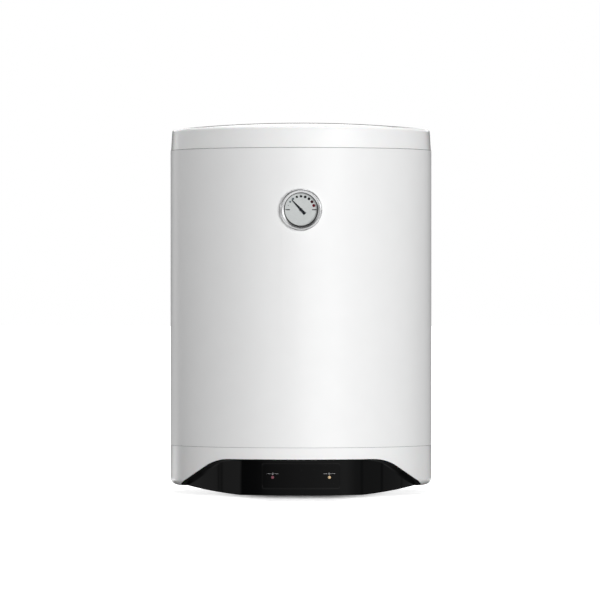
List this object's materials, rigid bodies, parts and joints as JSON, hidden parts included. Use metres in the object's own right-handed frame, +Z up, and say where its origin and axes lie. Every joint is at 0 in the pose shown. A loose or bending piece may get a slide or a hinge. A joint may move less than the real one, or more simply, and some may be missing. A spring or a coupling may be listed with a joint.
{
  "type": "tank water heater",
  "caption": "Wall-hung electric storage water heater: insulated steel cylinder with domed cap, round thermometer, black lower fascia with lamps, and pipe connections below.",
  "frame": {"origin": "on the wall, midway between the centres of the bracket's two slots", "axes": "+X to the viewer's right, +Y into the wall, +Z up; the front faces -Y"},
  "size_m": [0.45, 0.471, 0.6348],
  "materials": {
    "jacket_white": "gloss white enamel",
    "cover_white": "gloss white",
    "fascia_black": "piano black",
    "window_black": "gloss tinted black",
    "lamp_red": "red lamp",
    "lamp_amber": "amber lamp",
    "board_green": "circuit board",
    "screw_steel": "zinc plated",
    "knob_grey": "satin grey",
    "moulding_black": "satin black",
    "stat_cream": "moulded phenolic",
    "reset_red": "red",
    "steel": "bare steel",
    "brass": "turned",
    "collar_blue": "blue",
    "collar_red": "red",
    "pipe_plastic": "natural",
    "wire_brown": "brown",
    "wire_blue": "blue",
    "wire_green": "green",
    "foam": "rigid foam",
    "enamel_blue": "vitreous enamel",
    "gasket_rubber": "moulded",
    "sheath": "nickel alloy sheath",
    "bead_white": "glazed",
    "magnesium": "cast",
    "bracket_zinc": "galvanised",
    "bezel_chrome": "polished",
    "lens": "clear",
    "dial_silver": "satin silver",
    "needle_black": "satin black",
    "case_metal": "pressed",
    "copper": "copper"
  },
  "bodies": {
    "heater": {"outer_jacket": "jacket_white", "top_cover": "cover_white", "lower_cover": "cover_white", "front_fascia": "fascia_black", "indicator_window": "window_black", "power_lamp": "lamp_red", "heating_lamp": "lamp_amber", "lamp_board": "board_green", "fascia_screws": "screw_steel", "service_cover": "cover_white", "service_cover_screws": "screw_steel", "thermostat_body": "stat_cream", "thermostat_probe": "steel", "probe_pocket": "steel", "cold_inlet_nipple": "steel", "hot_outlet_nipple": "steel", "cold_collar": "collar_blue", "hot_collar": "collar_red", "inlet_diffuser": "pipe_plastic", "hot_outlet_pipe": "pipe_plastic", "cable_gland": "moulding_black", "gland_locknut": "moulding_black", "terminal_block": "stat_cream", "wire_live": "wire_brown", "wire_neutral": "wire_blue", "wire_earth": "wire_green", "wire_link": "wire_brown", "lamp_leads": "wire_blue", "foam_insulation": "foam", "tank_shell": "enamel_blue", "tank_top_head": "enamel_blue", "tank_bottom_head": "enamel_blue", "tank_flange": "enamel_blue", "flange_gasket": "gasket_rubber", "heater_plate": "steel", "flange_studs": "steel", "flange_nuts": "screw_steel", "heating_element": "sheath", "element_beads": "bead_white", "element_terminals": "brass", "anode_rod": "magnesium", "anode_nut": "screw_steel", "wall_bracket": "bracket_zinc", "bracket_studs": "steel", "bracket_nuts": "screw_steel", "wall_spacers": "moulding_black", "gauge_bezel": "bezel_chrome", "gauge_lens": "lens", "gauge_case": "case_metal", "gauge_dial": "dial_silver", "gauge_movement": "brass", "gauge_clip": "steel", "gauge_capillary": "copper", "gauge_bulb": "copper", "bulb_pocket": "brass"},
    "needle": {"gauge_needle": "needle_black", "gauge_pivot": "brass"},
    "knob": {"control_knob": "knob_grey", "thermostat_spindle": "brass"},
    "reset": {"reset_button": "reset_red"}
  },
  "joints": [
    {"name": "needle_turn", "type": "hinge", "parent": "heater", "child": "needle", "pos_m": [0, -0.4651, -0.0026], "axis": [0, 1, 0], "range_deg": [-47, 133], "stiffness_Nm_per_rad": 0.005},
    {"name": "knob_turn", "type": "hinge", "parent": "heater", "child": "knob", "pos_m": [0.006, -0.254, -0.451], "axis": [0, 0, -1], "range_deg": [0, 270]},
    {"name": "reset_press", "type": "slide", "parent": "heater", "child": "reset", "axis": [0, 0, 1], "range_m": [0, 0.0015], "stiffness_N_per_m": 400, "springref_m": -0.001}
  ]
}
